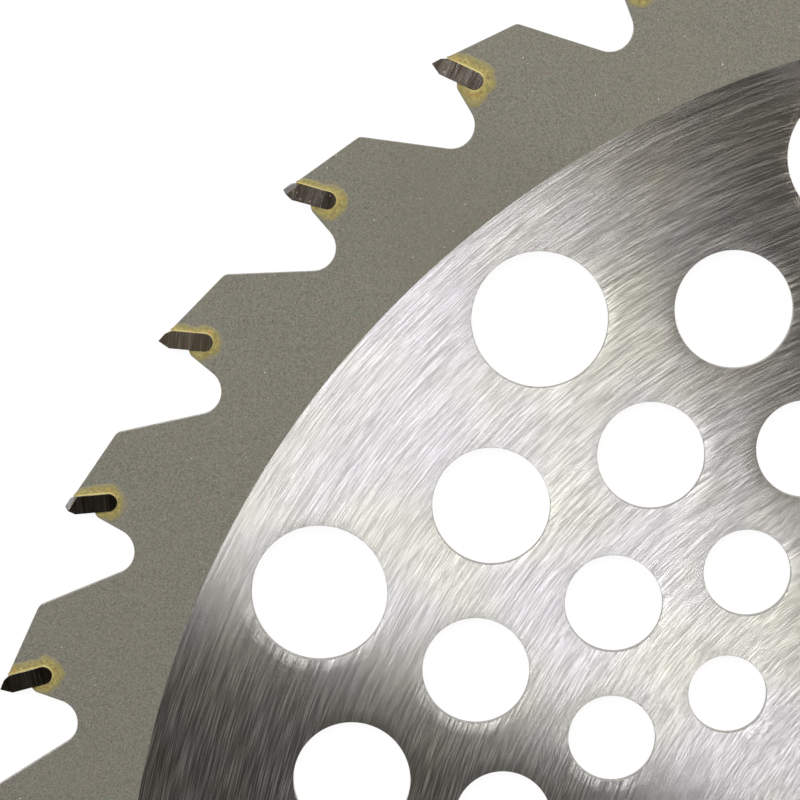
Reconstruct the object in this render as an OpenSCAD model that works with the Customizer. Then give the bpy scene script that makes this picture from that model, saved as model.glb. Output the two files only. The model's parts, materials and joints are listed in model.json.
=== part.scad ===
// Brush cutter blade: a thin steel saw disc with brazed carbide tips
// It lies flat on its tips, bore axis along Z, and tooth number 1 points along X

/* [Disc] */
// Diameter of the circle that the cutting points run on
blade_d = 255; // [253:0.5:258]
// Number of teeth
teeth = 36; // [32:2:40]
// Diameter of the arbor bore
bore_d = 25.4; // [20:0.1:32]
// Thickness of the plate at the dull rim
rim_t = 1.3; // [1.1:0.05:1.6]
// Width of the dull rim, from the cutting circle in to the edge of the ground faces
rim_w = 18.15; // [15:0.05:19]
// How far the ground faces stand above the rim's faces
ground_rise = 0.05; // [0.02:0.01:0.1]

/* [Lightening holes] */
// Number of holes in each ring
ring_holes = 15; // [12:1:16]
// Step from the edge of the ground faces in to the first, outermost ring
ring_1_step = 12.45; // [10:0.05:14]
// Hole diameter in the first ring
ring_1_d = 15.6; // [14:0.1:17]
// Step from the first ring in to the second
ring_2_step = 11.2; // [10:0.1:12]
// Hole diameter in the second ring
ring_2_d = 13.5; // [12:0.1:14]
// Step from the second ring in to the third
ring_3_step = 8.9; // [8.5:0.1:10]
// Hole diameter in the third ring
ring_3_d = 12.3; // [11:0.1:13]
// Step from the third ring in to the fourth
ring_4_step = 9.1; // [8.5:0.1:10]
// Hole diameter in the fourth ring
ring_4_d = 11.2; // [10:0.1:12]
// Step from the fourth ring in to the fifth
ring_5_step = 8.4; // [8:0.1:9]
// Hole diameter in the fifth ring
ring_5_d = 10; // [9:0.1:10.5]
// Step from the fifth ring in to the sixth, innermost ring
ring_6_step = 8.4; // [8:0.1:9]
// Hole diameter in the sixth ring
ring_6_d = 9; // [8:0.1:9.5]

/* [Teeth] */
// Depth of the gullets below the cutting circle
gullet_depth = 9.65; // [9:0.05:10.5]
// Diameter of the round gullet bottoms
gullet_d = 5.4; // [4.8:0.1:6]
// How far the steel front stands behind the cutting face at the gullet
front_setback = 0.45; // [0.3:0.05:0.7]
// Lean of the steel front, backwards from the radius
front_lean = 4.6; // [2:0.1:8]
// Depth below the cutting circle at which the front rounds over into the tip's seat
lip_depth = 4.25; // [4:0.05:4.6]
// Radius of that rounded lip
lip_r = 1.1; // [0.9:0.05:1.3]
// Depth of the tooth's back below the cutting circle, at the cutting face
back_step = 0.15; // [0.1:0.01:0.2]
// Relief angle of the tooth's back
relief_angle = 9.7; // [8:0.1:12]
// Steepness of the slope from the tooth's back into the next gullet
slope_angle = 53; // [48:0.5:56]
// Radius of the corner between back and slope
corner_r = 1; // [0.5:0.1:1.5]

/* [Carbide tips] */
// Width of a tip across the blade, which is the width of the cut
kerf = 2.2; // [2:0.05:2.5]
// Thickness of the carbide bar, seen from the side
tip_w = 2.05; // [1.9:0.05:2.4]
// Lean of the bar from the radius
tip_lean = 29.5; // [26:0.5:33]
// Depth of the bar's round inner end below the cutting circle
tip_depth = 5.4; // [5.1:0.1:5.8]
// Length of the ground cutting face
cutting_face = 1.5; // [1.2:0.1:1.8]
// Clearance angle on top of a tip
top_clearance = 7.5; // [5:0.5:9]
// Clearance angle on each side of a tip
side_clearance = 2; // [1:0.5:3]
// Angle of the alternate top bevel
top_bevel = 14; // [5:1:18]
// Size of the small chamfer on the heel of a tip
heel = 0.45; // [0.3:0.05:0.6]

/* [Brazing] */
// Thickness of the solder film between a tip and its seat
film_t = 0.08; // [0.05:0.01:0.12]
// Width of the solder collar around a seat
collar_w = 0.75; // [0.5:0.05:1]
// Height of the collar above the rim's faces
collar_h = 0.12; // [0.08:0.01:0.18]

/* [Hidden] */
$fn = 96;
// Overshoot of a cut past the faces that it goes through
past = 1;
// How far the straight flanks run inside the gullet's own circle, so that they cross it cleanly
flank_bite = 0.02;
// Number of straight steps in a small rounded corner
corner_steps = 6;

pitch = 360 / teeth;
blade_r = blade_d / 2;
gullet_r = gullet_d / 2;
ground_r = blade_r - rim_w;
ground_t = rim_t + 2 * ground_rise;
// The blade lies on its tips, so the middle of the plate is half a cut above the ground
mid_z = kerf / 2;

// Radius of each ring of holes, stepped in from the edge of the ground faces
ring_1_r = ground_r - ring_1_step;
ring_2_r = ring_1_r - ring_2_step;
ring_3_r = ring_2_r - ring_3_step;
ring_4_r = ring_3_r - ring_4_step;
ring_5_r = ring_4_r - ring_5_step;
ring_6_r = ring_5_r - ring_6_step;

// Each ring of holes: radius, hole diameter, and turn as a share of the hole spacing
RINGS = [
    [ring_1_r, ring_1_d, 0],
    [ring_2_r, ring_2_d, 0.5],
    [ring_3_r, ring_3_d, 0],
    [ring_4_r, ring_4_d, 0.5],
    [ring_5_r, ring_5_d, 0],
    [ring_6_r, ring_6_d, 0.5],
];

function tip_name(k) = str("tip_", k < 10 ? "0" : "", k);

// Points of a tooth are [u, v]: u runs back from the cutting face, v outwards along the radius

// A tooth point in the part's own X and Y, for the tooth that points along X
function place(p) = [p[1], -p[0]];

// Unit vector that leans back from the radius by an angle
function lean(angle) = [sin(angle), cos(angle)];

// Where two lines meet, each given by the lean of its normal and its distance from the centre
function meet(a1, d1, a2, d2) =
    [d1 * cos(a2) - d2 * cos(a1), d2 * sin(a1) - d1 * sin(a2)] / sin(a1 - a2);

// A tooth point turned clockwise about the centre, to the tooth behind
function turned(p, angle) =
    [p[0] * cos(angle) + p[1] * sin(angle), p[1] * cos(angle) - p[0] * sin(angle)];

// Points of a rounded corner, from one lean of its normal to another
function rounded(centre, r, from, to) =
    [for (s = [0:corner_steps]) centre + r * lean(from + (to - from) * s / corner_steps)];

// Gullet in front of the tooth, and the next one behind it
gullet_c = [front_setback - gullet_r, blade_r - gullet_depth + gullet_r];
next_gullet_c = turned(gullet_c, pitch);
flank_offset = gullet_r - flank_bite;

// Front of the tooth: a line beside the gullet, up to the rounded lip
front_normal = front_lean - 90;
front_foot = gullet_c - flank_offset * lean(front_normal);
lip_start = front_foot + lean(front_lean) * (blade_r - lip_depth - front_foot[1]) / cos(front_lean);
lip_c = lip_start - lip_r * lean(front_normal);
lip_end = -20;

// Back of the tooth: the land behind the tip, the corner and the slope beside the next gullet
land_d = (blade_r - back_step) * cos(relief_angle);
slope_d = next_gullet_c * lean(slope_angle) - flank_offset;
slope_foot = next_gullet_c - flank_offset * lean(slope_angle);
corner_c = meet(relief_angle, land_d - corner_r, slope_angle, slope_d - corner_r);
land_start_u = tip_w / 2;
land_start = [land_start_u, (land_d - land_start_u * sin(relief_angle)) / cos(relief_angle)];

// Seat of the tip: a leaning bar whose round inner end is centred here
side_lean = 90 - tip_lean;
bar_top = [0, blade_r - cutting_face] + tip_w / 2 * lean(side_lean);
bar_drop = (bar_top[1] - (blade_r - tip_depth + tip_w / 2)) / cos(tip_lean);
seat_c = bar_top - bar_drop * lean(-tip_lean);

// Edge of one tooth, from the middle of the gullet ahead to the slope behind
TOOTH_EDGE = concat(
    [gullet_c, front_foot],
    rounded(lip_c, lip_r, front_normal, lip_end),
    [land_start],
    rounded(corner_c, corner_r, relief_angle, slope_angle),
    [slope_foot]
);

// One tooth by itself, cut off along a line under its two gullets
module tooth_outline() {
    foot_share = 1 - gullet_r / gullet_c[1];
    polygon([for (p = concat(TOOTH_EDGE, [next_gullet_c, next_gullet_c * foot_share, gullet_c * foot_share]))
        place(p)]);
}

// Outline of the seat, or of the bar itself, open towards the rim and grown by a margin
module seat_outline(grow) {
    reach = tip_depth + tip_w;
    translate(place(seat_c)) {
        circle(r = tip_w / 2 + grow);
        rotate(tip_lean) translate([0, -tip_w / 2 - grow]) square([reach, tip_w + 2 * grow]);
    }
}

// Outline of the plate, with its teeth, gullets and tip seats
module plate_outline() {
    difference() {
        polygon([for (k = [0:teeth - 1], p = TOOTH_EDGE) place(turned(p, pitch * k))]);
        for (k = [1:teeth]) rotate(pitch * (k - 1)) {
            translate(place(gullet_c)) circle(r = gullet_r);
            seat_outline(film_t);
        }
    }
}

// A flat layer of the blade, as thick as stated and centred on the middle of the plate
module layer(thickness) {
    translate([0, 0, mid_z - thickness / 2]) linear_extrude(thickness) children();
}

module disc() {
    color([0.56, 0.55, 0.52]) difference() {
        union() {
            layer(rim_t) plate_outline();
            layer(ground_t) circle(r = ground_r);
        }
        translate([0, 0, mid_z]) {
            cylinder(h = ground_t + 2 * past, d = bore_d, center = true);
            for (ring = RINGS, k = [0:ring_holes - 1])
                rotate((k + ring[2]) * 360 / ring_holes) translate([ring[0], 0, 0])
                    cylinder(h = ground_t + 2 * past, d = ring[1], center = true);
        }
    }
}

// Section of a tip across the blade, from its bevelled top down: height and place across
module tip_section() {
    low = tip_depth + tip_w;
    narrow = kerf / 2 - low * tan(side_clearance);
    polygon([[0, kerf / 2], [-kerf * tan(top_bevel), -kerf / 2], [-low, -narrow], [-low, narrow]]);
}

// Corner that the heel chamfer takes off the back of the bar's top
module heel_cut() {
    reach = 2 * heel + past;
    back_top = meet(side_lean, seat_c * lean(side_lean) + tip_w / 2,
                    top_clearance, blade_r * cos(top_clearance));
    translate(place(back_top)) rotate((tip_lean - top_clearance) / 2 - 45)
        translate([-heel / 2, -reach / 2]) square([reach, reach]);
}

// One carbide tip: a bar with a round inner end, ground on its face, top and sides
module tip(k) {
    long_side = k % 2 == 1 ? 0 : 1;
    color([0.30, 0.28, 0.26]) rotate(pitch * (k - 1)) intersection() {
        layer(kerf + past) difference() {
            seat_outline(0);
            square([2 * blade_r, 2 * tip_depth]);
            heel_cut();
        }
        translate([blade_r, 0, mid_z]) rotate(-top_clearance) mirror([0, 0, long_side])
            rotate([90, 0, 0]) linear_extrude(4 * tip_depth, center = true) tip_section();
    }
}

// Solder of one joint: a film that lines the seat and a thin collar on each face
module braze_joint() {
    difference() {
        union() {
            layer(rim_t) intersection() {
                seat_outline(film_t);
                tooth_outline();
            }
            for (side = [-1, 1])
                translate([0, 0, side * (rim_t + collar_h) / 2]) layer(collar_h) intersection() {
                    seat_outline(film_t + collar_w);
                    tooth_outline();
                }
        }
        layer(kerf + past) seat_outline(0);
    }
}

module braze_joints() {
    color([0.66, 0.60, 0.32]) for (k = [1:teeth]) rotate(pitch * (k - 1)) braze_joint();
}

disc();
braze_joints();
for (k = [1:teeth]) tip(k);
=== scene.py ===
"""Brush cutter blade: a thin steel disc with brazed carbide tips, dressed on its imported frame."""

import json
import logging
import math
from dataclasses import astuple, dataclass
from enum import Enum
from typing import Any, Iterable, Sequence

import bmesh
import bpy
from mathutils import Matrix, Vector, noise

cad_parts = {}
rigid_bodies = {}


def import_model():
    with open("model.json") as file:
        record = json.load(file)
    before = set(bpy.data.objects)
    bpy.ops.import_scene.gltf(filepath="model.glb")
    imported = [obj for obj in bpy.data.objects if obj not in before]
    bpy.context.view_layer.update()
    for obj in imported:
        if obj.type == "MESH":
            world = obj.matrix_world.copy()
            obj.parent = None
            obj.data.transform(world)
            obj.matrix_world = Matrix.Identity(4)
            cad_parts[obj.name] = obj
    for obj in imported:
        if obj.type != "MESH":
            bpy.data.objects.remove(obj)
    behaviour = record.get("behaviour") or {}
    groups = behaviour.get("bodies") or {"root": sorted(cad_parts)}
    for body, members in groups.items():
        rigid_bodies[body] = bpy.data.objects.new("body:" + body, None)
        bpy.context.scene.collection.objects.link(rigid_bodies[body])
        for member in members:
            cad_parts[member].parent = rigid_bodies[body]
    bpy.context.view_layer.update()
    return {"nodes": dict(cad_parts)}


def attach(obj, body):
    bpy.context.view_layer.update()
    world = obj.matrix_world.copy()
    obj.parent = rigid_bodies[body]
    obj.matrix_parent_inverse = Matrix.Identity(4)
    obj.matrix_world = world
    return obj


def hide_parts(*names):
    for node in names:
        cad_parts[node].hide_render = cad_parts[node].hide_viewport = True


LOG = logging.getLogger("blade")
MM = 0.001

Point = tuple[float, float]
Triple = tuple[float, float, float]
Shade = tuple[int, int, int]


class Face(Enum):
    """The two broad faces of the blade."""

    UPPER = 1
    LOWER = -1


def lean(angle: float) -> Vector:
    """Unit vector that leans back from the radius by an angle in degrees."""
    return Vector((math.sin(math.radians(angle)), math.cos(math.radians(angle))))


def meet(lean_a: float, far_a: float, lean_b: float, far_b: float) -> Vector:
    """Where two lines meet.

    Args:
        lean_a: lean of the first line's normal, in degrees.
        far_a: distance of the first line from the centre.
        lean_b: lean of the second line's normal, in degrees.
        far_b: distance of the second line from the centre.

    Returns:
        The point that both lines share.
    """
    a, b = math.radians(lean_a), math.radians(lean_b)
    across = far_a * math.cos(b) - far_b * math.cos(a)
    outwards = far_b * math.sin(a) - far_a * math.sin(b)
    return Vector((across, outwards)) / math.sin(a - b)


def arc(centre: Vector, radius: float, start: float, end: float, steps: int) -> list[Vector]:
    """Points of an arc.

    Args:
        centre: middle of the arc.
        radius: its radius.
        start: lean of its first radius, in degrees.
        end: lean of its last radius, in degrees.
        steps: number of straight steps.

    Returns:
        The points, both ends with them.
    """
    return [centre + radius * lean(start + (end - start) * s / steps) for s in range(steps + 1)]


class Hand:
    """Small moves of the modelling hand: selecting, applying and joining."""

    MERGE = 0.0005 * MM

    @staticmethod
    def rest() -> None:
        """Leaves edit mode and deselects everything."""
        if bpy.context.object and bpy.context.object.mode != "OBJECT":
            bpy.ops.object.mode_set(mode="OBJECT")
        bpy.ops.object.select_all(action="DESELECT")

    @staticmethod
    def take(*pieces: bpy.types.Object) -> None:
        """Selects these pieces alone, and makes the first one active.

        Args:
            *pieces: the pieces.
        """
        Hand.rest()
        for piece in pieces:
            piece.select_set(True)
        bpy.context.view_layer.objects.active = pieces[0]

    @staticmethod
    def settle(piece: bpy.types.Object) -> None:
        """Applies a piece's place, turn and scale to its mesh."""
        Hand.take(piece)
        bpy.ops.object.transform_apply(location=True, rotation=True, scale=True)

    @staticmethod
    def finish_modifiers(piece: bpy.types.Object) -> None:
        """Applies every modifier of a piece, in order.

        Args:
            piece: the piece.
        """
        Hand.take(piece)
        for name in [m.name for m in piece.modifiers]:
            bpy.ops.object.modifier_apply(modifier=name)

    @staticmethod
    def smooth(piece: bpy.types.Object, angle: float) -> None:
        """Shades a piece smooth across edges flatter than an angle in degrees."""
        Hand.take(piece)
        bpy.ops.object.shade_smooth_by_angle(angle=math.radians(angle))

    @staticmethod
    def join(pieces: Sequence[bpy.types.Object], name: str) -> bpy.types.Object:
        """Joins pieces into the first one.

        Args:
            pieces: what is joined.
            name: the joined piece's name.

        Returns:
            The joined piece.
        """
        Hand.take(*pieces)
        bpy.ops.object.join()
        joined = bpy.context.object
        joined.name = name
        joined.data.name = name
        return joined

    @staticmethod
    def make_mesh(piece: bpy.types.Object) -> None:
        """Turns a flat curve into a mesh and merges its doubled points.

        Args:
            piece: the curve.
        """
        Hand.take(piece)
        bpy.ops.object.convert(target="MESH")
        bpy.ops.object.mode_set(mode="EDIT")
        bpy.ops.mesh.select_all(action="SELECT")
        bpy.ops.mesh.remove_doubles(threshold=Hand.MERGE)
        bpy.ops.mesh.normals_make_consistent(inside=False)
        bpy.ops.object.mode_set(mode="OBJECT")


@dataclass(frozen=True)
class Grain:
    """A noise: its cells in a unit, its finer layers and their weight, and how its place is changed."""

    cells: float
    layers: float = 2.0
    weight: float = 0.5
    shift: Triple | None = None
    stretch: Triple | None = None


@dataclass(frozen=True)
class Ramp:
    """Takes a value from one range to another and holds it there."""

    low: float
    high: float
    to_low: float = 0.0
    to_high: float = 1.0
    smooth: bool = False


@dataclass(frozen=True)
class Stain:
    """A tone that begins to show where a value passes its start and has its full share at its end."""

    tone: Shade
    start: float
    end: float
    share: float = 1.0
    smooth: bool = False


def colour(shade: Shade) -> tuple[float, float, float, float]:
    """A colour in linear light, from the 0 to 255 values that a screen shows.

    Args:
        shade: red, green and blue.

    Returns:
        The colour, with its alpha of 1.
    """
    red, green, blue = [((c / 255 + 0.055) / 1.055) ** 2.4 if c > 10 else c / 255 / 12.92 for c in shade]
    return (red, green, blue, 1.0)


class Nodes:
    """A material under construction, with short words for the nodes that its finish needs."""

    # Sockets that the Mix node has for colours.
    FIRST_COLOUR, SECOND_COLOUR, MIXED_COLOUR = 6, 7, 2

    def __init__(self, name: str) -> None:
        """Starts a material that holds its output, a Principled shader and the object's coordinates.

        Args:
            name: the material's name.
        """
        self.material = bpy.data.materials.new(name)
        self.material.use_nodes = True
        self.tree = self.material.node_tree
        self.tree.nodes.clear()
        self.output = self.add("ShaderNodeOutputMaterial")
        self.shader = self.add("ShaderNodeBsdfPrincipled")
        self.tree.links.new(self.shader.outputs[0], self.output.inputs["Surface"])
        self.place = self.add("ShaderNodeTexCoord").outputs["Object"]

    def add(self, kind: str, **settings: Any) -> bpy.types.Node:
        """Adds a node and sets its properties.

        Args:
            kind: the node's type.
            **settings: the node's properties.

        Returns:
            The node.
        """
        node = self.tree.nodes.new(kind)
        for key, value in settings.items():
            setattr(node, key, value)
        return node

    def feed(self, socket: bpy.types.NodeSocket, value: Any) -> None:
        """Links a socket to an output, or sets it to a plain value.

        Args:
            socket: the input.
            value: an output or a plain value.
        """
        if isinstance(value, bpy.types.NodeSocket):
            self.tree.links.new(value, socket)
        else:
            socket.default_value = value

    def fed(self, node: bpy.types.Node, values: Iterable[Any]) -> bpy.types.Node:
        """Feeds a node's first sockets in order, and hands the node back.

        Args:
            node: the node.
            values: outputs or plain values.

        Returns:
            The same node.
        """
        for socket, value in zip(node.inputs, values):
            self.feed(socket, value)
        return node

    def math(self, operation: str, *values: Any) -> bpy.types.NodeSocket:
        """One step of arithmetic.

        Args:
            operation: name of the Math node's operation.
            values: outputs or numbers that go in.

        Returns:
            The result's socket.
        """
        return self.fed(self.add("ShaderNodeMath", operation=operation), values).outputs[0]

    def plus(self, first: Any, second: Any) -> bpy.types.NodeSocket:
        """The sum of two values."""
        return self.math("ADD", first, second)

    def times(self, first: Any, second: Any) -> bpy.types.NodeSocket:
        """The product of two values."""
        return self.math("MULTIPLY", first, second)

    def sway(self, noise_value: bpy.types.NodeSocket, reach: float) -> bpy.types.NodeSocket:
        """A noise's value about zero, times its reach."""
        return self.times(self.math("SUBTRACT", noise_value, 0.5), reach)

    def vector(self, operation: str, *values: Any) -> bpy.types.NodeSocket:
        """One step of vector arithmetic, with its vector result."""
        return self.fed(self.add("ShaderNodeVectorMath", operation=operation), values).outputs["Vector"]

    def scaled(self, vector: bpy.types.NodeSocket, factor: Any) -> bpy.types.NodeSocket:
        """A vector times a number.

        Args:
            vector: the vector.
            factor: the number, or its output.

        Returns:
            The vector's socket.
        """
        node = self.fed(self.add("ShaderNodeVectorMath", operation="SCALE"), [vector])
        self.feed(node.inputs["Scale"], factor)
        return node.outputs["Vector"]

    def length(self, vector: bpy.types.NodeSocket) -> bpy.types.NodeSocket:
        """The length of a vector."""
        return self.fed(self.add("ShaderNodeVectorMath", operation="LENGTH"), [vector]).outputs["Value"]

    def flat(self) -> bpy.types.NodeSocket:
        """The place in the blade's plane."""
        return self.vector("MULTIPLY", self.place, (1.0, 1.0, 0.0))

    def turn_in(self, step: float, middle: float) -> bpy.types.NodeSocket:
        """Angle about the centre from the nearest one of a ring of equal places.

        Args:
            step: angle from place to place, in radians.
            middle: angle of one of the places.

        Returns:
            The angle's socket, in radians.
        """
        split = self.fed(self.add("ShaderNodeSeparateXYZ"), [self.place])
        turn = self.math("ARCTAN2", split.outputs[1], split.outputs[0])
        near = self.math("WRAP", turn, middle + step / 2, middle - step / 2)
        return self.math("SUBTRACT", near, middle)

    def attribute(self, name: str) -> bpy.types.NodeSocket:
        """A number stored on the mesh."""
        return self.add("ShaderNodeAttribute", attribute_name=name).outputs["Fac"]

    def noise(self, grain: Grain, vector: bpy.types.NodeSocket | None = None) -> bpy.types.NodeSocket:
        """Value of a noise texture.

        Args:
            grain: the noise.
            vector: where it is read, in the object's coordinates if left out.

        Returns:
            The value's socket, about 0.5 in the mean.
        """
        spot = self.place if vector is None else vector
        if grain.shift:
            spot = self.vector("ADD", spot, grain.shift)
        if grain.stretch:
            spot = self.vector("MULTIPLY", spot, grain.stretch)
        node = self.add("ShaderNodeTexNoise")
        sockets = {"Vector": spot, "Scale": grain.cells, "Detail": grain.layers, "Roughness": grain.weight}
        for name, value in sockets.items():
            self.feed(node.inputs[name], value)
        return node.outputs["Fac"]

    def span(self, value: bpy.types.NodeSocket, ramp: Ramp) -> bpy.types.NodeSocket:
        """Takes a value through a ramp.

        Args:
            value: the value.
            ramp: the ramp.

        Returns:
            The result's socket.
        """
        kind = "SMOOTHSTEP" if ramp.smooth else "LINEAR"
        node = self.add("ShaderNodeMapRange", interpolation_type=kind)
        return self.fed(node, (value, ramp.low, ramp.high, ramp.to_low, ramp.to_high)).outputs[0]

    def mix(self, factor: Any, first: Any, second: Any, blend: str = "MIX") -> bpy.types.NodeSocket:
        """Mix of two colours.

        Args:
            factor: share of the second colour.
            first: the first colour, as four numbers or an output.
            second: the second colour.
            blend: how they are blended.

        Returns:
            The mixed colour's socket.
        """
        node = self.fed(self.add("ShaderNodeMix", data_type="RGBA", blend_type=blend), [factor])
        self.feed(node.inputs[self.FIRST_COLOUR], first)
        self.feed(node.inputs[self.SECOND_COLOUR], second)
        return node.outputs[self.MIXED_COLOUR]

    def stain(self, body: Any, value: bpy.types.NodeSocket, stain: Stain) -> bpy.types.NodeSocket:
        """Lays a stain over a colour, where a value says.

        Args:
            body: the colour below, as four numbers or an output.
            value: the value that the stain follows.
            stain: the stain.

        Returns:
            The stained colour's socket.
        """
        ramp = Ramp(stain.start, stain.end, 0.0, stain.share, stain.smooth)
        return self.mix(self.span(value, ramp), body, colour(stain.tone))

    def bump(self, height: bpy.types.NodeSocket, depth: float, strength: Any) -> None:
        """Lets a height shape the shader's normal.

        Args:
            height: the height, from 0 to 1.
            depth: what 1 stands for, in metres.
            strength: share of the effect, as a number or an output.
        """
        node = self.add("ShaderNodeBump")
        for name, value in {"Strength": strength, "Distance": depth, "Height": height}.items():
            self.feed(node.inputs[name], value)
        self.set(Normal=node.outputs[0])

    def set(self, **values: Any) -> None:
        """Sets or links the shader's sockets, with underscores for the spaces in their names."""
        for key, value in values.items():
            self.feed(self.shader.inputs[key.replace("_", " ")], value)


@dataclass(frozen=True)
class Holes:
    """One ring of holes: its radius, a hole's width and its shift in shares of a step."""

    radius: float
    width: float
    shift: float


@dataclass(frozen=True)
class Marks:
    """One layer of grinding marks, with the spot where its drift is read and its weight."""

    length: float
    width: float
    drift: float
    share: float = 1.0


@dataclass(frozen=True)
class GroundSteel:
    """Bright steel, ground in circles about the bore, with a slight roll-off round each hole and painted
    shade towards the rim.
    """

    layers: tuple[Marks, ...] = (
        Marks(10.0 * MM, 0.19 * MM, 0.0, 0.22),
        Marks(6.0 * MM, 0.15 * MM, 3.0, 0.28),
        Marks(3.0 * MM, 0.13 * MM, 7.0, 0.27),
        Marks(1.5 * MM, 0.12 * MM, 11.0, 0.23),
    )
    hairs: Marks = Marks(4.5 * MM, 0.12 * MM, 17.0)
    drift: Grain = Grain(17.0, 0.0)
    mark: Grain = Grain(1.0, 0.0)
    dust_grain: Grain = Grain(3800.0, 1.0, 0.6)
    cloud: Grain = Grain(60.0)
    shadow: Shade = (212, 210, 207)
    light: Stain = Stain((251, 250, 248), 0.42, 0.58)
    dust: Stain = Stain((200, 197, 192), 0.6, 0.4, 0.3)
    cool: Shade = (252, 250, 255)
    warm: Stain = Stain((253, 252, 244), 0.4, 0.62)
    # painted shade: the ground face's colour darkens from 55 mm out to 109 mm, towards the rim
    painted_outward_shade: Ramp = Ramp(55 * MM, 109 * MM, 1.0, 0.7)
    metal: Ramp = Ramp(0.42, 0.72, 1.0, 0.92)
    roughness: Ramp = Ramp(0.35, 0.7, 0.228, 0.264)
    relief: Ramp = Ramp(0.38, 0.62, 0.1, 1.0)
    wander: float = 2.8 * MM
    swing: float = 0.13
    roll_width: float = 1.6 * MM
    roll_depth: float = 0.042 * MM
    mean_radius: float = 85 * MM

    def marks(self, n: Nodes, around: bpy.types.NodeSocket, radius: bpy.types.NodeSocket,
              layer: Marks) -> bpy.types.NodeSocket:
        """Noise drawn out along the circles, which drift slowly in and out so that layers cross.

        Args:
            n: the material.
            around: unit vector from the centre.
            radius: distance from the centre.
            layer: the layer.

        Returns:
            The marks' value.
        """
        moved = n.vector("ADD", n.flat(), (layer.drift, layer.drift, layer.drift))
        drifted = n.plus(radius, n.sway(n.noise(self.drift, moved), self.wander))
        across = n.fed(n.add("ShaderNodeCombineXYZ"), (0.0, 0.0, n.times(drifted, 1 / layer.width)))
        along = n.scaled(around, self.mean_radius / layer.length)
        return n.noise(self.mark, n.vector("ADD", along, across.outputs[0]))

    def to_hole(self, n: Nodes, radius: bpy.types.NodeSocket, count: int,
                rings: Sequence[Holes]) -> bpy.types.NodeSocket:
        """Distance from the nearest hole's edge.

        Args:
            n: the material.
            radius: distance from the centre.
            count: number of holes in a ring.
            rings: the rings.

        Returns:
            The distance's socket, in metres.
        """
        step = math.tau / count
        nearest: Any = 1.0
        for ring in rings:
            local = n.turn_in(step, step * ring.shift)
            reach = n.times(n.times(radius, n.math("COSINE", local)), 2 * ring.radius)
            square = n.math("SUBTRACT", n.plus(n.times(radius, radius), ring.radius ** 2), reach)
            middle = n.math("SQRT", n.math("MAXIMUM", square, 0.0))
            nearest = n.math("MINIMUM", n.math("SUBTRACT", middle, ring.width / 2), nearest)
        return nearest

    def make(self, count: int, rings: Sequence[Holes]) -> bpy.types.Material:
        """Builds the material.

        Args:
            count: number of holes in a ring.
            rings: the rings of holes.

        Returns:
            The material.
        """
        n = Nodes("ground_steel")
        flat = n.flat()
        around = n.vector("NORMALIZE", flat)
        radius = n.length(flat)
        lines: Any = 0.0
        for layer in self.layers:
            lines = n.plus(n.times(self.marks(n, around, radius, layer), layer.share), lines)
        hair = self.marks(n, around, radius, self.hairs)
        body = n.stain(colour(self.shadow), lines, self.light)
        body = n.stain(body, n.noise(self.dust_grain, flat), self.dust)
        hue = n.stain(colour(self.cool), n.noise(self.cloud, flat), self.warm)
        # painted shade: the colour is scaled down outwards before the hue tints it
        tinted = n.mix(1.0, n.scaled(body, n.span(radius, self.painted_outward_shade)), hue, "MULTIPLY")
        side = n.vector("CROSS_PRODUCT", (0.0, 0.0, 1.0), around)
        leaning = n.vector("ADD", around, n.scaled(side, n.sway(lines, self.swing)))
        n.set(Base_Color=tinted, Metallic=n.span(hair, self.metal), Anisotropic=1.0,
              Tangent=n.vector("NORMALIZE", leaning), Roughness=n.span(hair, self.roughness))
        past = n.span(self.to_hole(n, radius, count, rings), Ramp(0.0, self.roll_width, 1.0, 0.0))
        fall = n.times(n.times(past, past), self.roll_depth / MM)
        n.bump(n.math("SUBTRACT", 1.0, fall), MM, n.span(hair, self.relief))
        return n.material


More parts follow.
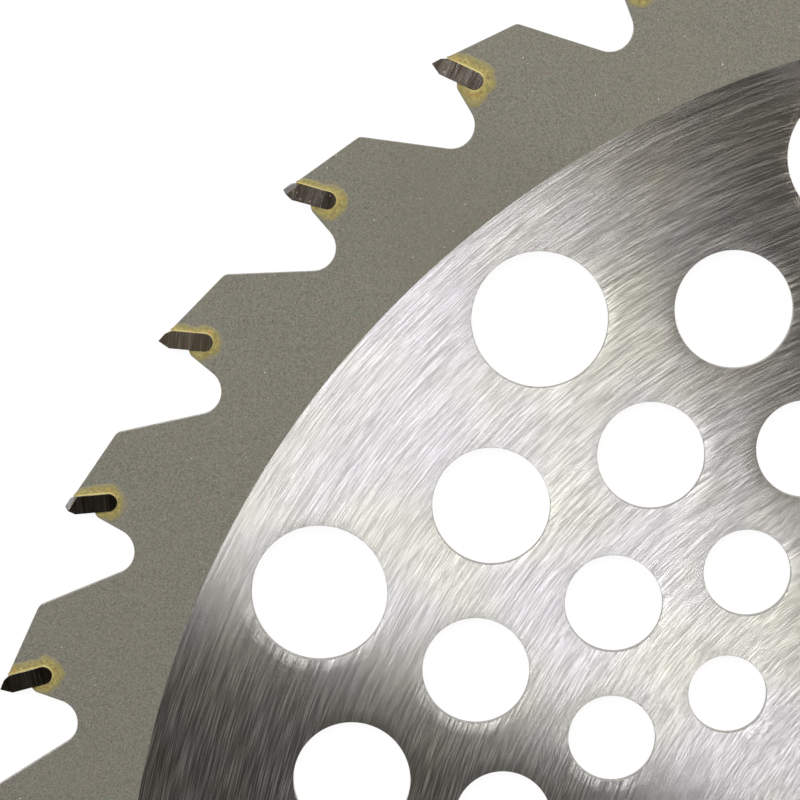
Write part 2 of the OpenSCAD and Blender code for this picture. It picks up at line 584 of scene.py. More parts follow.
@dataclass(frozen=True)
class DullSteel:
    """Dull olive-grey steel of the rim, with fine speckle and heat tint about the seats."""

    grain: Grain = Grain(5000.0, 3.0, 0.85)
    hue: Grain = Grain(2600.0, 2.0, 0.7, (0.0, 1.0, 0.0))
    fray: Grain = Grain(900.0, 3.0, 0.65)
    fray_width: float = 1.6 * MM
    shadow: Shade = (63, 62, 57)
    light: Stain = Stain((113, 111, 105), 0.36, 0.64)
    green: Stain = Stain((88, 94, 83), 0.42, 0.6, 0.45)
    red: Stain = Stain((105, 90, 88), 0.44, 0.3, 0.45)
    patches: tuple[tuple[Grain, Stain], ...] = (
        (Grain(90.0, 3.0, 0.6), Stain((100, 97, 84), 0.35, 0.7, 0.2)),
        (Grain(26.0), Stain((80, 76, 71), 0.55, 0.75, 0.35)),
        (Grain(3000.0, 0.0), Stain((205, 205, 196), 0.85, 0.89, 0.6)),
        (Grain(2700.0, 0.0, 0.5, (1.0, 0.0, 0.0)), Stain((58, 52, 46), 0.82, 0.86, 0.7)),
    )
    heat: Stain = Stain((124, 112, 78), 3.2 * MM, 2.5 * MM, 0.4, True)
    roughness: Ramp = Ramp(0.3, 0.7, 0.47, 0.6)
    metal: float = 0.2
    gloss: float = 0.3
    depth: float = 0.012 * MM
    strength: float = 0.5

    def make(self, teeth: int, seat: Point) -> bpy.types.Material:
        """Builds the material.

        Args:
            teeth: number of teeth that the tint repeats over.
            seat: middle of a seat's round end, as its radius in metres and its angle in degrees.

        Returns:
            The material.
        """
        n = Nodes("dull_steel")
        grain = n.noise(self.grain)
        hue = n.noise(self.hue)
        body = n.stain(colour(self.shadow), grain, self.light)
        body = n.stain(body, hue, self.green)
        body = n.stain(body, hue, self.red)
        for patch, tone in self.patches:
            body = n.stain(body, n.noise(patch), tone)
        outwards = n.math("SUBTRACT", n.length(n.flat()), seat[0])
        across = n.times(n.turn_in(math.tau / teeth, math.radians(seat[1])), seat[0])
        away = n.math("SQRT", n.plus(n.times(outwards, outwards), n.times(across, across)))
        ragged = n.plus(away, n.times(n.noise(self.fray), self.fray_width))
        n.set(Base_Color=n.stain(body, ragged, self.heat), Metallic=self.metal,
              Specular_IOR_Level=self.gloss, Roughness=n.span(grain, self.roughness))
        n.bump(grain, self.depth, self.strength)
        return n.material


@dataclass(frozen=True)
class CutEdge:
    """Steel of the walls that the cutter left, in the holes and along the teeth."""

    lines: Grain = Grain(3800.0, 2.0, 0.6, stretch=(1.0, 1.0, 0.12))
    patch: Grain = Grain(120.0)
    shadow: Shade = (118, 116, 114)
    light: Stain = Stain((168, 166, 160), 0.35, 0.65)
    brown: Stain = Stain((128, 121, 104), 0.45, 0.7, 0.5)
    roughness: Ramp = Ramp(0.3, 0.7, 0.34, 0.5)
    metal: float = 0.85
    depth: float = 0.01 * MM
    strength: float = 0.4

    def make(self) -> bpy.types.Material:
        """Builds the material.

        Returns:
            The material.
        """
        n = Nodes("cut_edge")
        lines = n.noise(self.lines)
        body = n.stain(colour(self.shadow), lines, self.light)
        body = n.stain(body, n.noise(self.patch), self.brown)
        n.set(Base_Color=body, Metallic=self.metal, Roughness=n.span(lines, self.roughness))
        n.bump(lines, self.depth, self.strength)
        return n.material


@dataclass(frozen=True)
class GroundCarbide:
    """Dark carbide, ground across the bar, with painted shade darkening it towards its foot."""

    lines: Grain = Grain(1.0, 2.0, 0.6, stretch=(0.25, 7.0, 1.0))
    fine: Grain = Grain(1.0, 1.0, stretch=(0.9, 16.0, 1.0))
    wide: Grain = Grain(1.0, 1.0, stretch=(0.15, 1.1, 1.0))
    grit: Grain = Grain(4200.0, 2.0, 0.6)
    pit: Grain = Grain(1900.0, 0.0)
    shadow: Shade = (54, 47, 40)
    light: Stain = Stain((92, 85, 77), 0.35, 0.65)
    brown: Stain = Stain((60, 49, 40), 0.3, 0.75, 0.4)
    bright: Stain = Stain((146, 142, 135), 0.56, 0.68, 0.5)
    pale: Stain = Stain((176, 162, 150), 0.8, 0.84, 0.5)
    haze: Stain = Stain((128, 117, 96), 0.0, 1.0, 0.5)
    haze_metal: Ramp = Ramp(0.0, 1.0, 1.0, 0.4)
    haze_roughness: float = 0.25
    # painted shade: each bar's colour darkens towards its inner end in the seat
    painted_foot_shade: Ramp = Ramp(-1.0, 1.2, 0.62, 1.0)
    roughness: Ramp = Ramp(0.3, 0.7, 0.24, 0.34)
    line_share: float = 0.6
    depth: float = 0.012 * MM
    strength: float = 0.5

    def make(self) -> bpy.types.Material:
        """Builds the material, which reads the bar's own map in millimetres.

        Returns:
            The material.
        """
        n = Nodes("ground_carbide")
        bar = n.add("ShaderNodeUVMap", uv_map="bar").outputs[0]
        haze = n.attribute("haze")
        lines = n.noise(self.lines, bar)
        fine = n.noise(self.fine, bar)
        body = n.stain(colour(self.shadow), n.noise(self.wide, bar), self.light)
        body = n.stain(body, n.noise(self.grit), self.brown)
        body = n.stain(body, lines, self.bright)
        body = n.stain(body, n.noise(self.pit), self.pale)
        body = n.stain(body, haze, self.haze)
        # painted shade: the colour is scaled darker towards the bar's foot
        body = n.scaled(body, n.span(n.attribute("climb"), self.painted_foot_shade))
        along = n.add("ShaderNodeTangent", direction_type="UV_MAP", uv_map="bar").outputs[0]
        rough = n.plus(n.span(fine, self.roughness), n.times(haze, self.haze_roughness))
        n.set(Base_Color=body, Metallic=n.span(haze, self.haze_metal), Roughness=rough, Anisotropic=1.0,
              Tangent=n.vector("CROSS_PRODUCT", along, (0.0, 0.0, 1.0)))
        height = n.plus(n.times(lines, self.line_share), n.times(fine, 1 - self.line_share))
        n.bump(height, self.depth, self.strength)
        return n.material


@dataclass(frozen=True)
class FlowedSolder:
    """Golden solder that has run out from a seat, with burnt edges and painted highlights next to the tip.
    """

    curdle: Grain = Grain(1700.0, 4.0, 0.7)
    patch: Grain = Grain(2300.0, 3.0, 0.7)
    scorch: Grain = Grain(560.0, 3.0, 0.6, (0.0, 0.0, 1.0))
    shadow: Shade = (98, 91, 50)
    gold: Stain = Stain((135, 126, 76), 0.38, 0.6)
    brown: Stain = Stain((110, 78, 44), 0.54, 0.64, 0.5)
    olive: Stain = Stain((98, 96, 56), 0.44, 0.36, 0.6)
    # lighter cream solder next to the tip, partly a painted highlight
    cream_and_highlight: Stain = Stain((168, 159, 106), 0.2, 0.06, 0.6)
    burnt: Stain = Stain((136, 98, 47), 0.54, 0.68, 0.5)
    # painted highlight: a thin light line along the bead right next to the tip
    lip: Stain = Stain((194, 184, 126), 0.1, 0.03, 0.6)
    outer: Stain = Stain((104, 99, 68), 0.45, 0.8, 0.85)
    fringe: Stain = Stain((99, 95, 86), 0.85, 1.05, 0.8)
    cream_ragged: float = 0.5
    edge_ragged: float = 1.3
    metal: Ramp = Ramp(0.1, 0.7, 0.3, 0.1)
    roughness: Ramp = Ramp(0.3, 0.7, 0.4, 0.63)
    gloss: float = 0.35
    curdle_share: float = 0.5
    depth: float = 0.06 * MM
    strength: float = 0.7

    def make(self) -> bpy.types.Material:
        """Builds the material, which reads how far each point lies from the tip.

        Returns:
            The material.
        """
        n = Nodes("flowed_solder")
        flow = n.attribute("flow")
        curdle = n.noise(self.curdle)
        patch = n.noise(self.patch)
        edge = n.plus(flow, n.sway(curdle, self.edge_ragged))
        body = n.stain(colour(self.shadow), patch, self.gold)
        body = n.stain(body, curdle, self.brown)
        body = n.stain(body, curdle, self.olive)
        # cream solder next to the tip, partly a painted highlight
        body = n.stain(body, n.plus(flow, n.sway(patch, self.cream_ragged)), self.cream_and_highlight)
        body = n.stain(body, n.noise(self.scorch), self.burnt)
        # painted highlight along the tip's side of the bead
        body = n.stain(body, flow, self.lip)
        body = n.stain(body, edge, self.outer)
        body = n.stain(body, edge, self.fringe)
        n.set(Base_Color=body, Metallic=n.span(edge, self.metal), Specular_IOR_Level=self.gloss,
              Roughness=n.span(curdle, self.roughness))
        height = n.plus(n.times(curdle, self.curdle_share), n.times(patch, 1 - self.curdle_share))
        n.bump(height, self.depth, self.strength)
        return n.material


@dataclass(frozen=True)
class WhitePaper:
    """Pale paper under the blade. A camera sees it nearly white, with a faint shadow."""

    fibre: Grain = Grain(420.0, 3.0, 0.6)
    shadow: Shade = (238, 238, 236)
    light: Stain = Stain((246, 246, 245), 0.0, 1.0)
    roughness: float = 0.9
    depth: float = 0.02 * MM
    strength: float = 0.1
    glow: tuple[float, float, float, float] = (1.0, 1.0, 1.0, 1.0)
    glow_share: float = 0.95

    def make(self) -> bpy.types.Material:
        """Builds the material.

        Returns:
            The material.
        """
        n = Nodes("white_paper")
        fibre = n.noise(self.fibre)
        n.set(Base_Color=n.stain(colour(self.shadow), fibre, self.light), Roughness=self.roughness)
        n.bump(fibre, self.depth, self.strength)
        rays = n.add("ShaderNodeLightPath")
        seen: Any = 0.0
        for kind in ("Is Camera Ray", "Is Glossy Ray", "Is Transmission Ray"):
            seen = n.math("MAXIMUM", seen, rays.outputs[kind])
        glow = n.fed(n.add("ShaderNodeEmission"), [self.glow])
        share = n.times(seen, self.glow_share)
        blend = n.fed(n.add("ShaderNodeMixShader"), (share, n.shader.outputs[0], glow.outputs[0]))
        n.feed(n.output.inputs["Surface"], blend.outputs[0])
        return n.material


@dataclass
class Tooth:
    """Shape of one tooth and its seat. A point is (back from the cutting face, out along the radius)."""

    teeth: int = 36
    reach: float = 127.5 * MM
    gullet_depth: float = 9.65 * MM
    gullet_r: float = 2.7 * MM
    front_setback: float = 0.45 * MM
    front_lean: float = 4.6
    lip_depth: float = 4.25 * MM
    lip_r: float = 1.1 * MM
    back_step: float = 0.15 * MM
    relief: float = 9.7
    slope: float = 53.0
    corner_r: float = 1.0 * MM
    bar_w: float = 2.05 * MM
    bar_lean: float = 29.5
    bar_depth: float = 5.4 * MM
    cutting_face: float = 1.5 * MM
    film: float = 0.08 * MM
    gullet_steps: int = 20
    lip_steps: int = 12
    seat_steps: int = 18
    corner_steps: int = 8

    @property
    def pitch(self) -> float:
        """Angle from tooth to tooth, in degrees."""
        return 360 / self.teeth

    @property
    def gullet(self) -> Vector:
        """Middle of the round gullet ahead of the tooth."""
        out = self.reach - self.gullet_depth + self.gullet_r
        return Vector((self.front_setback - self.gullet_r, out))

    @property
    def next_gullet(self) -> Vector:
        """Middle of the gullet behind the tooth."""
        return self.turned(self.gullet, self.pitch)

    @property
    def seat(self) -> Vector:
        """Middle of the seat's round inner end."""
        top = Vector((0.0, self.reach - self.cutting_face)) + self.bar_w / 2 * self.side
        end = self.reach - self.bar_depth + self.bar_w / 2
        return top - (top.y - end) / math.cos(math.radians(self.bar_lean)) * self.rise

    @property
    def rise(self) -> Vector:
        """Direction of the bar, outwards."""
        return lean(-self.bar_lean)

    @property
    def side(self) -> Vector:
        """Direction across the bar, backwards."""
        return lean(90 - self.bar_lean)

    @property
    def lip(self) -> Vector:
        """Middle of the rounded lip below the tip's face."""
        out = lean(self.front_lean - 90)
        foot = self.gullet - self.gullet_r * out
        climb = (self.reach - self.lip_depth - foot.y) / math.cos(math.radians(self.front_lean))
        return foot + climb * lean(self.front_lean) - self.lip_r * out

    @property
    def land_far(self) -> float:
        """Distance of the land's line from the centre."""
        return (self.reach - self.back_step) * math.cos(math.radians(self.relief))

    @staticmethod
    def turned(point: Vector, angle: float) -> Vector:
        """A point turned about the centre, to the tooth behind."""
        c, s = math.cos(math.radians(angle)), math.sin(math.radians(angle))
        return Vector((point.x * c + point.y * s, point.y * c - point.x * s))

    def lip_end(self, grow: float) -> float:
        """Lean of the lip's radius where the lip meets the bar's front, grown by a margin."""
        far = -(self.bar_w / 2 + grow) - (self.lip - self.seat) @ self.side
        return 90 - self.bar_lean - math.degrees(math.acos(far / self.lip_r))

    def outline(self) -> list[Vector]:
        """Edge of the steel from the gullet ahead, round the seat, to the gullet behind.

        Returns:
            The edge's points, in the tooth's own measures.
        """
        half = self.bar_w / 2 + self.film
        front = self.front_lean - 90
        flank_far = self.seat @ self.side + half
        back_top = meet(90 - self.bar_lean, flank_far, self.relief, self.land_far)
        slope_far = self.next_gullet @ lean(self.slope) - self.gullet_r
        corner = meet(self.relief, self.land_far - self.corner_r, self.slope, slope_far - self.corner_r)
        come_in = self.slope - 180 - self.pitch
        return (arc(self.gullet, self.gullet_r, come_in, front - 180, self.gullet_steps)
                + arc(self.lip, self.lip_r, front, self.lip_end(self.film), self.lip_steps)
                + arc(self.seat, half, 270 - self.bar_lean, 90 - self.bar_lean, self.seat_steps)
                + [back_top]
                + arc(corner, self.corner_r, self.relief, self.slope, self.corner_steps))

    def placed(self, point: Vector, k: int) -> Point:
        """A tooth point in the blade's own X and Y, for tooth number k.

        Args:
            point: the point, back from the cutting face and out along the radius.
            k: number of the tooth.

        Returns:
            The point's X and Y.
        """
        turn = math.radians(self.pitch * (k - 1))
        c, s = math.cos(turn), math.sin(turn)
        return (point.y * c + point.x * s, point.y * s - point.x * c)


@dataclass
class SteelDisc:
    """The toothed plate: a dull rim, the raised ground faces, the rings of holes and the bore."""

    tooth: Tooth
    mid_z: float = 1.1 * MM
    rim_t: float = 1.3 * MM
    ground_t: float = 1.4 * MM
    ground_r: float = 109.35 * MM
    lap: float = 0.4 * MM
    bore_r: float = 12.7 * MM
    ring_holes: int = 15
    rim_break: float = 0.05 * MM
    hole_break: float = 0.04 * MM
    wide_fineness: int = 90
    bore_fineness: int = 32
    hole_fineness: int = 20
    smooth_angle: float = 18
    wall_slope: float = 0.9
    rings: tuple[Holes, ...] = (
        Holes(96.9 * MM, 15.6 * MM, 0.0),
        Holes(85.7 * MM, 13.5 * MM, 0.5),
        Holes(76.8 * MM, 12.3 * MM, 0.0),
        Holes(67.7 * MM, 11.2 * MM, 0.5),
        Holes(59.3 * MM, 10.0 * MM, 0.0),
        Holes(50.9 * MM, 9.0 * MM, 0.5),
    )

    @staticmethod
    def circle(radius: float, fineness: int, middle: Point = (0.0, 0.0)) -> bpy.types.Object:
        """Draws a flat circle.

        Args:
            radius: its radius.
            fineness: straight steps in a quarter of it.
            middle: place of its middle.

        Returns:
            The circle, as a curve.
        """
        Hand.rest()
        bpy.ops.curve.primitive_bezier_circle_add(radius=radius, location=(*middle, 0.0))
        ring = bpy.context.object
        ring.data.resolution_u = fineness
        for spline in ring.data.splines:
            spline.resolution_u = fineness
        return ring

    def edge(self) -> bpy.types.Object:
        """Draws the blade's toothed edge as one closed flat curve.

        Returns:
            The curve.
        """
        outline = self.tooth.outline()
        points = [self.tooth.placed(p, -k) for k in range(self.tooth.teeth) for p in outline]
        data = bpy.data.curves.new("edge", "CURVE")
        spline = data.splines.new("POLY")
        spline.points.add(len(points) - 1)
        for spot, (x, y) in zip(spline.points, points):
            spot.co = (x, y, 0.0, 1.0)
        spline.use_cyclic_u = True
        drawn = bpy.data.objects.new("edge", data)
        bpy.context.scene.collection.objects.link(drawn)
        return drawn

    def cut(self, drawing: Sequence[bpy.types.Object], thickness: float, broken: float,
            name: str) -> bpy.types.Object:
        """Cuts a plate along drawn curves, with its sharp corners broken.

        Args:
            drawing: the outer curve and the curves of the holes.
            thickness: how thick the plate is.
            broken: width of the corners' chamfer.
            name: the plate's name.

        Returns:
            The plate, as a mesh about the blade's middle plane.
        """
        plate = Hand.join(drawing, name)
        data = plate.data
        data.dimensions = "2D"
        data.fill_mode = "BOTH"
        data.extrude = thickness / 2 - broken
        data.bevel_depth = broken
        data.bevel_resolution = 0
        data.offset = -broken
        Hand.make_mesh(plate)
        plate.location.z = self.mid_z
        Hand.settle(plate)
        return plate

    def build(self) -> bpy.types.Object:
        """Builds the disc from its rim and its ground middle.

        Returns:
            The disc.
        """
        inside = self.circle(self.ground_r - self.lap, self.wide_fineness)
        rim = self.cut([self.edge(), inside], self.rim_t, self.rim_break, "rim")
        bore = self.circle(self.bore_r, self.bore_fineness)
        drawing = [self.circle(self.ground_r, self.wide_fineness), bore]
        for ring in self.rings:
            for k in range(self.ring_holes):
                turn = math.tau * (k + ring.shift) / self.ring_holes
                middle = (ring.radius * math.cos(turn), ring.radius * math.sin(turn))
                drawing.append(self.circle(ring.width / 2, self.hole_fineness, middle))
        ground = self.cut(drawing, self.ground_t, self.hole_break, "ground")
        disc = Hand.join([ground, rim], "steel_disc")
        Hand.smooth(disc, self.smooth_angle)
        return disc

    def dress(self, disc: bpy.types.Object) -> None:
        """Gives the ground faces, the rim and the cut walls their own finishes.

        Args:
            disc: the disc.
        """
        seat_x, seat_y = self.tooth.placed(self.tooth.seat, 1)
        seat = (math.hypot(seat_x, seat_y), math.degrees(math.atan2(seat_y, seat_x)))
        finishes = (
            GroundSteel().make(self.ring_holes, self.rings),
            DullSteel().make(self.tooth.teeth, seat),
            CutEdge().make(),
        )
        disc.data.materials.clear()
        for finish in finishes:
            disc.data.materials.append(finish)
        raised = (self.ground_t + self.rim_t) / 4
        ground, rim, wall = range(len(finishes))
        for face in disc.data.polygons:
            if abs(face.normal.z) < self.wall_slope:
                face.material_index = wall
            elif abs(face.center.z - self.mid_z) > raised:
                face.material_index = ground
            else:
                face.material_index = rim


@dataclass
class CarbideTips:
    """The carbide bars, each with slightly broken edges, a map along its grinding and its own haze."""

    tooth: Tooth
    merge: float = 0.001 * MM
    flat_angle: float = 1.0
    edge_break: float = 0.04 * MM
    edge_segments: int = 2
    sharp_angle: float = 25
    smooth_angle: float = 22
    map_step: int = 9
    common_haze: float = 0.3
    haze_turn: float = 7.3
    shown_haze: tuple[tuple[int, float], ...] = (
        (15, 0.0), (16, 0.06), (17, 0.5), (18, 0.09), (19, 0.07),
    )

    def build(self, k: int, node: bpy.types.Object) -> bpy.types.Object:
        """Makes one tip from its CAD solid.

        Args:
            k: number of its tooth.
            node: the CAD node.

        Returns:
            The finished tip.
        """
        tip = node.copy()
        tip.data = node.data.copy()
        tip.name = f"carbide_tip_{k:02d}"
        tip.parent = None
        for key in list(tip.keys()):
            del tip[key]
        bpy.context.scene.collection.objects.link(tip)
        Hand.take(tip)
        bpy.ops.object.mode_set(mode="EDIT")
        bpy.ops.mesh.select_all(action="SELECT")
        bpy.ops.mesh.remove_doubles(threshold=self.merge)
        bpy.ops.mesh.dissolve_limited(angle_limit=math.radians(self.flat_angle))
        bpy.ops.object.mode_set(mode="OBJECT")
        bevel = tip.modifiers.new("edges", "BEVEL")
        bevel.width = self.edge_break
        bevel.segments = self.edge_segments
        bevel.limit_method = "ANGLE"
        bevel.angle_limit = math.radians(self.sharp_angle)
        bevel.harden_normals = False
        Hand.finish_modifiers(tip)
        Hand.smooth(tip, self.smooth_angle)
        self.map_bar(tip, k)
        chance = self.common_haze * (1 + math.sin(self.haze_turn * k))
        haze = dict(self.shown_haze).get(k, chance)
        layer = tip.data.attributes.new("haze", "FLOAT", "POINT")
        layer.data.foreach_set("value", [haze] * len(tip.data.vertices))
        return tip

    def map_bar(self, tip: bpy.types.Object, k: int) -> None:
        """Lays a map in millimetres over a tip, across and along the bar, and stores the way along it.

        Args:
            tip: the tip.
            k: number of its tooth.
        """
        for layer in list(tip.data.uv_layers):
            tip.data.uv_layers.remove(layer)
        layer = tip.data.uv_layers.new(name="bar")
        root = Vector(self.tooth.placed(self.tooth.seat, k))
        ahead = Vector(self.tooth.placed(self.tooth.seat + self.tooth.rise * MM, k)) - root
        across = Vector(self.tooth.placed(self.tooth.seat + self.tooth.side * MM, k)) - root
        climb = tip.data.attributes.new("climb", "FLOAT", "POINT")
        for loop in tip.data.loops:
            spot = tip.data.vertices[loop.vertex_index].co
            flat = Vector((spot.x, spot.y)) - root
            up = flat.dot(ahead) / MM / MM
            climb.data[loop.vertex_index].value = up
            layer.data[loop.index].uv = (flat.dot(across) / MM / MM + spot.z / MM, up + self.map_step * k)


@dataclass(frozen=True)
class SolderSize:
    """How far the solder of one joint has run."""

    back: float
    end: float
    front: float
    height: float
    ragged: float


@dataclass
class Brazing:
    """The solder of all joints: a film in each seat and the beads that ran out on both faces."""

    tooth: Tooth
    mid_z: float = 1.1 * MM
    plate_t: float = 1.3 * MM
    bite: float = 0.02 * MM
    flank_steps: int = 16
    end_steps: int = 32
    edge_gap: float = 0.03 * MM
    far: float = 4.0 * MM
    glancing: float = 0.05
    bead_shares: tuple[float, ...] = (0.1, 0.25, 0.45, 0.7, 0.9)
    hollow_share: float = 0.85
    lift: float = 0.012 * MM
    toe_sink: float = 0.01 * MM
    web_sink: float = 0.02 * MM
    least_width: float = 1.2
    full_swell: float = 0.5 * MM
    thin_share: float = 0.35
    swell_share: float = 0.3
    ragged_gain: float = 1.6
    ripples: tuple[Point, ...] = ((1.0, 1.0), (0.5, 2.7), (0.3, 8.3))
    chance_steps: Triple = (12.9, 4.1, 2.3)
    seed_steps: Triple = (2.6, 3.1, 7.7)
    swell_seed: float = 1.9
    smooth_angle: float = 40
    least: SolderSize = SolderSize(0.6 * MM, 0.85 * MM, 0.8 * MM, 0.05 * MM, 0.33)
    most: SolderSize = SolderSize(1.1 * MM, 1.25 * MM, 1.5 * MM, 0.07 * MM, 0.33)
    shown: tuple[tuple[int, SolderSize], ...] = (
        (15, SolderSize(1.25 * MM, 1.75 * MM, 2.4 * MM, 0.05 * MM, 0.28)),
        (16, SolderSize(0.8 * MM, 1.2 * MM, 0.8 * MM, 0.05 * MM, 0.3)),
        (17, SolderSize(0.85 * MM, 1.15 * MM, 0.95 * MM, 0.06 * MM, 0.35)),
        (18, SolderSize(1.1 * MM, 1.0 * MM, 1.1 * MM, 0.06 * MM, 0.35)),
        (19, SolderSize(1.0 * MM, 1.2 * MM, 1.1 * MM, 0.05 * MM, 0.3)),
    )

    def size(self, k: int, face: Face) -> SolderSize:
        """How far the solder ran at tooth k, as the photograph shows it or as chance would have it.

        Args:
            k: number of the tooth.
            face: which of the blade's faces.

        Returns:
            The joint's size on that face.
        """
        named = dict(self.shown)
        if face is Face.UPPER and k in named:
            return named[k]
        tooth_step, face_step, size_step = self.chance_steps
        between = []
        for i, (low, high) in enumerate(zip(astuple(self.least), astuple(self.most))):
            wave = math.sin(tooth_step * k * (i + 1) + face_step * face.value + size_step * i)
            between.append(low + (high - low) * (1 + wave) / 2)
        return SolderSize(*between)

    def room(self, point: Vector, out: Vector) -> float:
        """How far the steel goes on from a point, to the tooth's front, its lip or its gullet.

        Args:
            point: where the walk starts.
            out: unit vector of the walk.

        Returns:
            The distance, or the far limit where no edge lies ahead.
        """
        t = self.tooth
        front = lean(t.front_lean - 90)
        room = self.far
        if out @ front > self.glancing:
            foot = t.gullet - t.gullet_r * front
            room = min(room, (foot - point) @ front / (out @ front))
        ahead = (t.gullet - point) @ out
        inside = t.gullet_r ** 2 - (t.gullet - point).length_squared + ahead ** 2
        if ahead > 0 and inside > 0:
            room = min(room, ahead - math.sqrt(inside))
        past = (point - t.lip) @ out
        chord = t.lip_r ** 2 - (point - t.lip).length_squared + past ** 2
        if chord > 0:
            edge = math.sqrt(chord) - past
            if (point + edge * out - t.lip) @ lean(t.front_lean) > 0 and edge > 0:
                room = min(room, edge)
        return max(room - self.edge_gap, 0.0)

    def stations(self) -> list[tuple[Vector, Vector, float, float]]:
        """Walks along the joint from the front lip, round the end, to the top at the back.

        Returns:
            For each station its point on the bar, the direction outwards, where it lies from 0 at
            the front to 1 at the middle of the end and 2 at the back, and the room to the edge.
        """
        t = self.tooth
        half = t.bar_w / 2
        lip_point = t.lip + t.lip_r * lean(t.lip_end(0.0))
        front_long = (lip_point - t.seat) @ t.rise
        back_top = meet(90 - t.bar_lean, t.seat @ t.side + half, t.relief, t.land_far)
        back_long = (back_top - t.seat) @ t.rise
        walk = []
        for s in range(self.flank_steps):
            left = 1 - s / self.flank_steps
            point = t.seat - half * t.side + front_long * left * t.rise
            walk.append((point, -t.side, (1 - left) / 2, self.room(point, -t.side)))
        for s in range(self.end_steps + 1):
            turn = 180 * s / self.end_steps
            out = lean(270 - t.bar_lean - turn)
            point = t.seat + half * out
            walk.append((point, out, 0.5 + s / self.end_steps, self.room(point, out)))
        opening = math.tan(math.radians(90 - t.bar_lean - t.relief))
        for s in range(1, self.flank_steps + 1):
            up = s / self.flank_steps
            point = t.seat + half * t.side + back_long * up * t.rise
            walk.append((point, t.side, 1.5 + 0.5 * up, back_long * (1 - up) * opening))
        return walk

    def width(self, size: SolderSize, along: float, room: float, seed: Vector) -> float:
        """Width of the bead at a station.

        Args:
            size: the joint's size.
            along: where the station lies, from 0 to 2.
            room: how far the steel goes on there.
            seed: where the raggedness is read.

        Returns:
            The width in metres.
        """
        if along < 1:
            ease = along * along * (3 - 2 * along)
            plain = size.front + (size.end - size.front) * ease
        else:
            ease = (along - 1) ** 2 * (5 - 2 * along)
            plain = size.end + (size.back - size.end) * ease
        wave = sum(weight * noise.noise(seed * pace) for weight, pace in self.ripples)
        ragged = plain * (1 + size.ragged * wave * self.ragged_gain)
        return max(min(ragged, room), self.tooth.film * self.least_width)

    def section(self, widths: dict[Face, float], heights: dict[Face, float]) -> list[Triple]:
        """Closed section of the solder at a station.

        Args:
            widths: width of the bead on each face.
            heights: its height against the tip.

        Returns:
            For each corner the distance from the bar, the height, and the share of the bead's width.
        """
        top, low = self.mid_z + self.plate_t / 2, self.mid_z - self.plate_t / 2
        web = self.tooth.film + self.bite
        outline = []
        for face, base in ((Face.UPPER, top), (Face.LOWER, low)):
            width, height, up = widths[face], heights[face], face.value
            bead = [(-self.bite, base + up * height, 0.0)]
            for share in self.bead_shares:
                left = 1 - share
                fall = left ** 2 * self.hollow_share + left * (1 - self.hollow_share)
                bead.append((width * share, base + up * (height * fall + self.lift), share))
            bead.append((width, base - up * self.toe_sink, 1.0))
            bead.append((web, base - up * self.web_sink, 1.0))
            outline += bead if face is Face.UPPER else bead[::-1]
        return outline

    def joint(self, mesh: bmesh.types.BMesh, k: int, flow: Any) -> None:
        """Adds the solder of tooth k to a mesh.

        Args:
            mesh: the mesh.
            k: number of the tooth.
            flow: layer for each point's share of the bead's width.
        """
        loops = []
        apart = Vector((5.0, 0.0, 0.0))
        along_step, tooth_step, face_step = self.seed_steps
        for point, out, along, room in self.stations():
            widths, heights = {}, {}
            for face in Face:
                size = self.size(k, face)
                seed = Vector((along * along_step, k * tooth_step, face.value * face_step))
                widths[face] = self.width(size, along, room, seed)
                swell = 1 + self.swell_share * noise.noise(seed * self.swell_seed + apart)
                grown = self.thin_share + widths[face] / self.full_swell * (1 - self.thin_share)
                heights[face] = size.height * swell * min(1.0, grown)
            ring = []
            for away, z, share in self.section(widths, heights):
                x, y = self.tooth.placed(point + out * away, k)
                vertex = mesh.verts.new((x, y, z))
                vertex[flow] = share
                ring.append(vertex)
            loops.append(ring)
        count = len(loops[0])
        for one, other in zip(loops, loops[1:]):
            for i in range(count):
                j = (i + 1) % count
                mesh.faces.new((one[i], one[j], other[j], other[i]))
        mesh.faces.new(loops[0][::-1])
        mesh.faces.new(loops[-1])

    def build(self) -> bpy.types.Object:
        """Builds the solder of every joint as one piece.

        Returns:
            The solder.
        """
        Hand.rest()
        mesh = bmesh.new()
        flow = mesh.verts.layers.float.new("flow")
        for k in range(1, self.tooth.teeth + 1):
            self.joint(mesh, k, flow)
        bmesh.ops.recalc_face_normals(mesh, faces=mesh.faces)
        data = bpy.data.meshes.new("brazing")
        mesh.to_mesh(data)
        mesh.free()
        piece = bpy.data.objects.new("brazing", data)
        bpy.context.scene.collection.objects.link(piece)
        Hand.smooth(piece, self.smooth_angle)
        return piece


@dataclass
class Blade:
    """The whole blade, which rides on the frame's one body."""

    tooth: Tooth
    body: str = "root"

    def fit(self, piece: bpy.types.Object, slot: str, *nodes: str) -> None:
        """Lets a piece ride on the body and stand for its CAD nodes.

        Args:
            piece: the piece.
            slot: not used.
            *nodes: names of the CAD nodes.
        """
        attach(piece, self.body)
        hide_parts(*nodes)
        LOG.info("%s stands for %s", piece.name, ", ".join(nodes))

    def build(self, nodes: dict[str, bpy.types.Object]) -> None:
        """Builds, dresses and fits every piece of the blade.

        Args:
            nodes: the frame's CAD nodes, by name.
        """
        plate = SteelDisc(self.tooth)
        disc = plate.build()
        plate.dress(disc)
        self.fit(disc, "saw_steel", "disc")
        brazing = Brazing(self.tooth).build()
        brazing.data.materials.append(FlowedSolder().make())
        self.fit(brazing, "solder", "braze_joints")
        tips = CarbideTips(self.tooth)
        carbide = GroundCarbide().make()
        for k in range(1, self.tooth.teeth + 1):
            name = f"tip_{k:02d}"
            tip = tips.build(k, nodes[name])
            tip.data.materials.clear()
            tip.data.materials.append(carbide)
            self.fit(tip, "carbide", name)


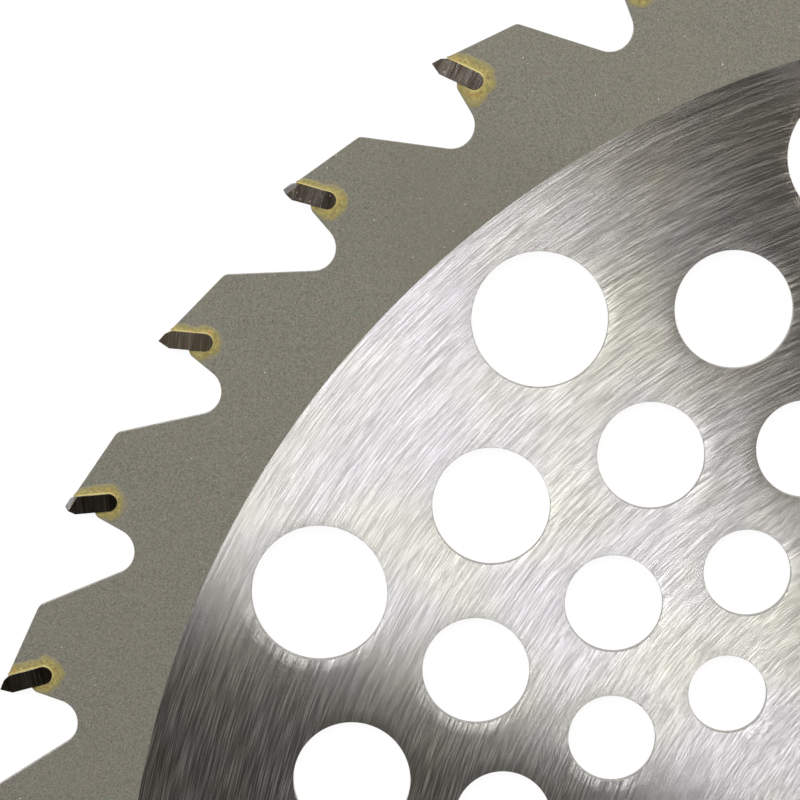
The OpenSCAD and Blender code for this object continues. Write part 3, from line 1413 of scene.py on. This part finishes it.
@dataclass(frozen=True)
class Softbox:
    """A flat rectangular lamp that looks at the blade."""

    name: str
    azimuth: float
    elevation: float
    distance: float
    width: float
    height: float
    power: float
    tint: Triple

    def hang(self) -> None:
        """Hangs the lamp, out of the camera's sight."""
        lamp = bpy.data.lights.new(self.name, "AREA")
        lamp.shape = "RECTANGLE"
        lamp.size, lamp.size_y = self.width, self.height
        lamp.energy, lamp.color = self.power, self.tint
        a, e = math.radians(self.azimuth), math.radians(self.elevation)
        back = Vector((math.cos(a) * math.cos(e), math.sin(a) * math.cos(e), math.sin(e)))
        hung = bpy.data.objects.new(self.name, lamp)
        hung.location = back * self.distance
        hung.rotation_mode = "QUATERNION"
        hung.rotation_quaternion = back.to_track_quat("Z", "Y")
        hung.visible_camera = False
        bpy.context.scene.collection.objects.link(hung)


@dataclass
class Studio:
    """The white sweep of paper, the lamps and the camera."""

    flat_r: float = 2.56
    curl_r: float = 0.64
    curl_rise: float = 0.9
    curl_steps: int = 6
    round_steps: int = 128
    smooth_angle: float = 30
    sky: float = 0.06
    sky_tint: tuple[float, float, float, float] = (1.0, 0.96, 0.84, 1.0)
    camera_at: Triple = (-98.3 * MM, 91.7 * MM, 455.45 * MM)
    looks: Triple = (0.015, -0.1045, -0.9944)
    right: Triple = (0.9675, 0.2526, -0.012)
    lens: float = 180.0
    sensor: float = 36.0
    sight: Point = (0.01, 20.0)
    lamps: tuple[Softbox, ...] = (
        Softbox("key", 162.0, 50.0, 1.6, 0.76, 0.96, 20.1, (0.9, 0.93, 1.0)),
        Softbox("warm", 157.0, 50.0, 1.6, 0.98, 0.96, 12.3, (1.0, 0.965, 0.86)),
        Softbox("side", 74.0, 52.0, 1.1, 0.70, 0.60, 14.0, (1.0, 0.93, 0.8)),
    )

    def lay_paper(self) -> None:
        """Lays a round sheet of paper whose edge turns up all the way round."""
        Hand.rest()
        bpy.ops.mesh.primitive_circle_add(vertices=self.round_steps, radius=self.flat_r, fill_type="NGON")
        paper = bpy.context.object
        paper.name = "paper"
        bpy.ops.object.mode_set(mode="EDIT")
        bpy.ops.mesh.select_mode(type="EDGE")
        bpy.ops.mesh.select_all(action="SELECT")
        bpy.ops.mesh.region_to_loop()
        turns = [math.pi / 2 * step / self.curl_steps for step in range(self.curl_steps + 1)]
        for before, turn in zip(turns, turns[1:]):
            up = self.curl_rise * (math.cos(before) - math.cos(turn))
            grown = ((self.flat_r + self.curl_r * math.sin(turn))
                     / (self.flat_r + self.curl_r * math.sin(before)))
            bpy.ops.mesh.extrude_edges_move(TRANSFORM_OT_translate={"value": (0.0, 0.0, up)})
            bpy.ops.transform.resize(value=(grown, grown, 1.0))
        bpy.ops.object.mode_set(mode="OBJECT")
        Hand.smooth(paper, self.smooth_angle)
        paper.data.materials.append(WhitePaper().make())

    def dim_room(self) -> None:
        """Gives the room round the lamps its low, plain light."""
        world = bpy.data.worlds.new("room")
        world.use_nodes = True
        back = world.node_tree.nodes["Background"]
        back.inputs["Color"].default_value = self.sky_tint
        back.inputs["Strength"].default_value = self.sky
        bpy.context.scene.world = world

    def set_camera(self) -> None:
        """Sets the camera where the photograph was taken."""
        data = bpy.data.cameras.new("camera")
        data.sensor_width, data.lens = self.sensor, self.lens
        data.clip_start, data.clip_end = self.sight
        ahead = Vector(self.looks).normalized()
        right = Vector(self.right)
        right = (right - ahead * right.dot(ahead)).normalized()
        up = right.cross(ahead)
        turn = Matrix((right, up, -ahead)).transposed().to_4x4()
        camera = bpy.data.objects.new("camera", data)
        camera.matrix_world = Matrix.Translation(self.camera_at) @ turn
        bpy.context.scene.collection.objects.link(camera)
        bpy.context.scene.camera = camera

    def build(self) -> None:
        """Sets up the whole studio."""
        self.lay_paper()
        self.dim_room()
        for lamp in self.lamps:
            lamp.hang()
        self.set_camera()
        bpy.context.scene.view_settings.view_transform = "Standard"


def plain(box: Iterable[Vector]) -> list[list[float]]:
    """A box as plain lists of numbers."""
    return [list(corner) for corner in box]


def clear_start() -> None:
    """Removes what a new Blender file holds at its start."""
    for thing in list(bpy.data.objects):
        bpy.data.objects.remove(thing)


def main() -> None:
    """Loads the frame and builds the blade and its studio."""
    logging.basicConfig(level=logging.INFO, format="%(name)s: %(message)s")
    clear_start()
    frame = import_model()
    Hand.rest()
    Blade(Tooth()).build(frame["nodes"])
    Studio().build()


if __name__ == "__main__":
    main()
